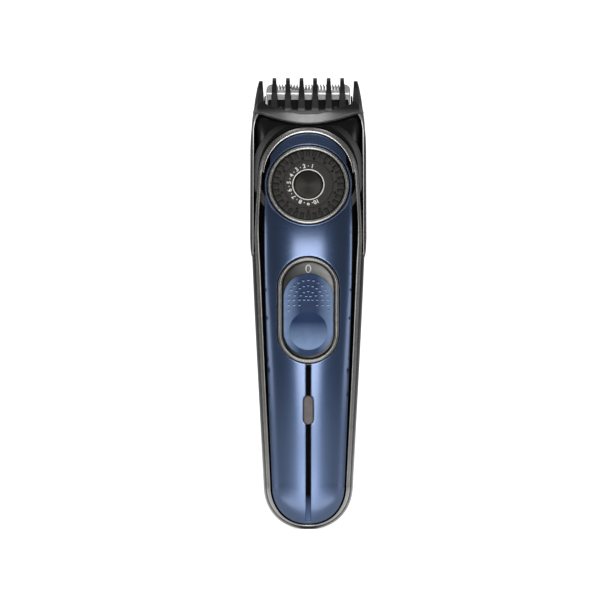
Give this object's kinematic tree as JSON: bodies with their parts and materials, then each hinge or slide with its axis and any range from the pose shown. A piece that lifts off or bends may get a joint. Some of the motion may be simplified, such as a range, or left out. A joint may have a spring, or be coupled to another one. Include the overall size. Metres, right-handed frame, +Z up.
{
  "type": "beard trimmer",
  "caption": "Slim upright beard trimmer with a leaning head, toothed comb guard set by a face dial, sliding power switch and oscillating blade.",
  "frame": {"origin": "centre of the whole object's box in X and Y, at the level of the flat foot it stands on", "axes": "+Z up along the handle towards the blade; -Y is the front with the dial and switch; +X is the right-hand side seen from the front"},
  "size_m": [0.0446, 0.0382, 0.1719],
  "materials": {
    "gloss_black": "polished black moulded plastic",
    "satin_black": "fine satin dark grey moulded plastic",
    "blue_metallic": "metallic blue, satin sheen, bright down the middle",
    "chrome_trim": "satin chrome plating",
    "spun_metal": "dark spun metal, fine concentric turning marks",
    "blade_steel": "ground stainless steel, fine cross grain",
    "bright_steel": "plain bright steel",
    "dial_grey": "satin warm dark grey plastic with light printed scale",
    "lens_smoke": "smoked translucent plastic",
    "white_plastic": "natural nylon",
    "board_green": "green lacquered circuit board",
    "cell_wrap": "shrink-wrapped metal cell"
  },
  "bodies": {
    "root": {"rear_housing": "gloss_black", "front_housing": "gloss_black", "trim_ring": "chrome_trim", "front_plate": "blue_metallic", "centre_strip_lower": "gloss_black", "centre_strip_upper": "gloss_black", "indicator_lens": "lens_smoke", "status_light": "white_plastic", "charging_socket": "satin_black", "battery": "cell_wrap", "circuit_board": "board_green", "housing_screw_1": "bright_steel", "housing_screw_2": "bright_steel", "housing_screw_3": "bright_steel", "housing_screw_4": "bright_steel", "switch_bezel": "chrome_trim", "switch_well": "satin_black", "slide_switch": "satin_black", "dial_bezel": "chrome_trim", "detent_spring": "bright_steel", "motor": "bright_steel", "motor_cradle": "white_plastic", "cutter_spring": "bright_steel", "fixed_blade": "blade_steel", "blade_holder": "satin_black", "blade_cover": "satin_black", "blade_screw_left": "satin_black", "blade_screw_right": "satin_black", "neck_frame": "gloss_black"},
    "dial": {"length_dial": "dial_grey", "dial_cap": "spun_metal", "dial_pinion": "white_plastic"},
    "carriage": {"comb_carriage": "satin_black"},
    "comb": {"comb_guard": "satin_black"},
    "switch": {"switch_button": "blue_metallic", "switch_slider": "white_plastic"},
    "rotor": {"motor_shaft": "bright_steel", "eccentric": "white_plastic"},
    "cutter": {"cutter_driver": "white_plastic", "moving_blade": "blade_steel"}
  },
  "joints": [
    {"name": "dial_turn", "type": "hinge", "parent": "root", "child": "dial", "pos_m": [0, -0.00708, 0.13042], "axis": [0, 0.9613, -0.2756], "range_deg": [-12, 204]},
    {"name": "comb_adjust", "type": "slide", "parent": "root", "child": "carriage", "axis": [0, 0.2756, 0.9613], "range_m": [-0.0005, 0.0085]},
    {"name": "comb_detach", "type": "slide", "parent": "carriage", "child": "comb", "axis": [0, 0.2756, 0.9613], "range_m": [0, 0.065]},
    {"name": "power_switch", "type": "slide", "parent": "root", "child": "switch", "axis": [0, 0.061, 0.9981], "range_m": [0, 0.0042]},
    {"name": "motor_spin", "type": "hinge", "parent": "root", "child": "rotor", "pos_m": [0, 0.00966, 0.14418], "axis": [0, 0.2756, 0.9613], "continuous": true},
    {"name": "cutter_slide", "type": "slide", "parent": "root", "child": "cutter", "axis": [1, 0, 0], "range_m": [-0.0008, 0.0008]}
  ],
  "couplings": [
    {"joint": "dial_turn", "follows": "comb_adjust", "rad_per_m": 416.67}
  ]
}
